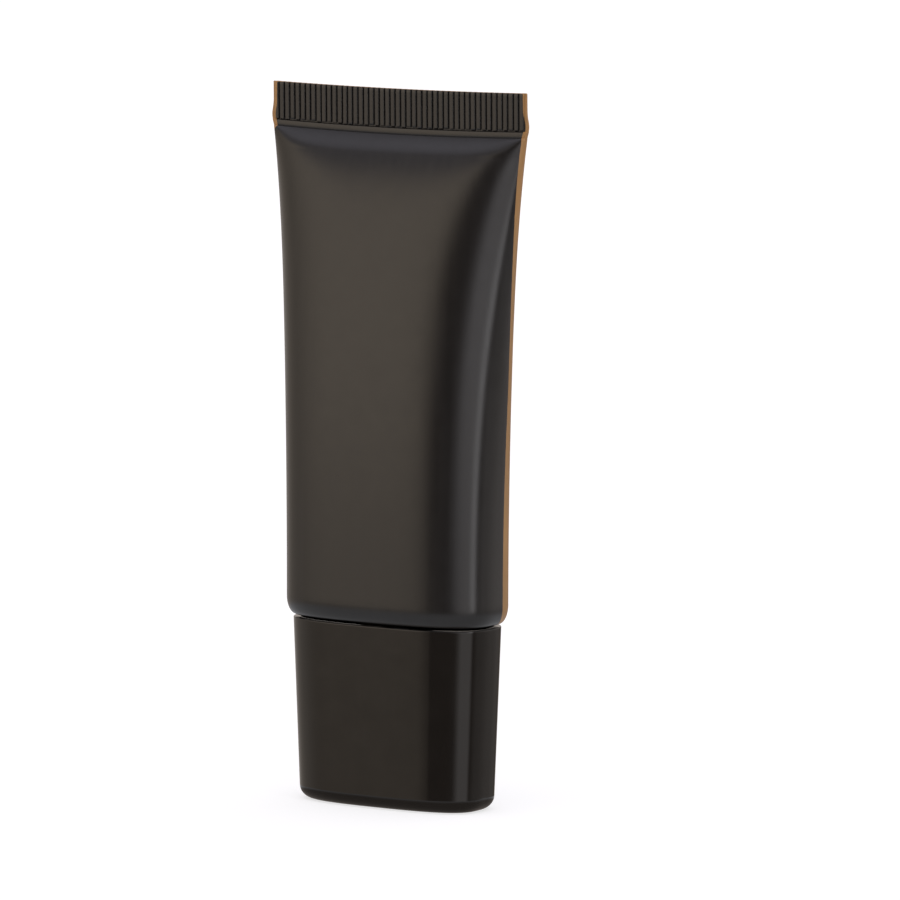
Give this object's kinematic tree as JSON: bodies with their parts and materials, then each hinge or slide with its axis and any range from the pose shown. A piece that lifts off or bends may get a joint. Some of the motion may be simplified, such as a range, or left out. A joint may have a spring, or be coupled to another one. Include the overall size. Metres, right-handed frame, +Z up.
{
  "type": "squeeze tube with screw cap",
  "caption": "Flat oval squeeze tube for lotion with a ribbed crimp, standing on its deep oval screw cap, with a threaded neck and nozzle plug inside.",
  "frame": {"origin": "middle of the cap's flat end, on which the tube stands", "axes": "+Z up along the axis of the tube and its screw, towards the crimp; +X across the wide face; -Y towards the front face"},
  "size_m": [0.0476, 0.0182, 0.1129],
  "materials": {
    "sleeve": "satin black film",
    "neck": "glossy black moulding",
    "insert": "milky translucent",
    "cap": "high gloss black",
    "socket": "semi-gloss black",
    "seal": "matt white foam"
  },
  "bodies": {
    "cap": {"cap_shell": "cap", "cap_socket": "socket"},
    "seal": {"sealing_disc": "seal"},
    "tube": {"sleeve": "sleeve", "shoulder_neck": "neck", "orifice_insert": "insert"}
  },
  "joints": [
    {"name": "unscrew_turn", "type": "hinge", "parent": "cap", "child": "seal", "pos_m": [0, 0, 0], "axis": [0, 0, 1], "range_deg": [0, 2160]},
    {"name": "unscrew_lift", "type": "slide", "parent": "seal", "child": "tube", "axis": [0, 0, 1], "range_m": [0, 0.0225]}
  ],
  "couplings": [
    {"joint": "unscrew_lift", "follows": "unscrew_turn", "m_per_rad": 0.0005968}
  ]
}
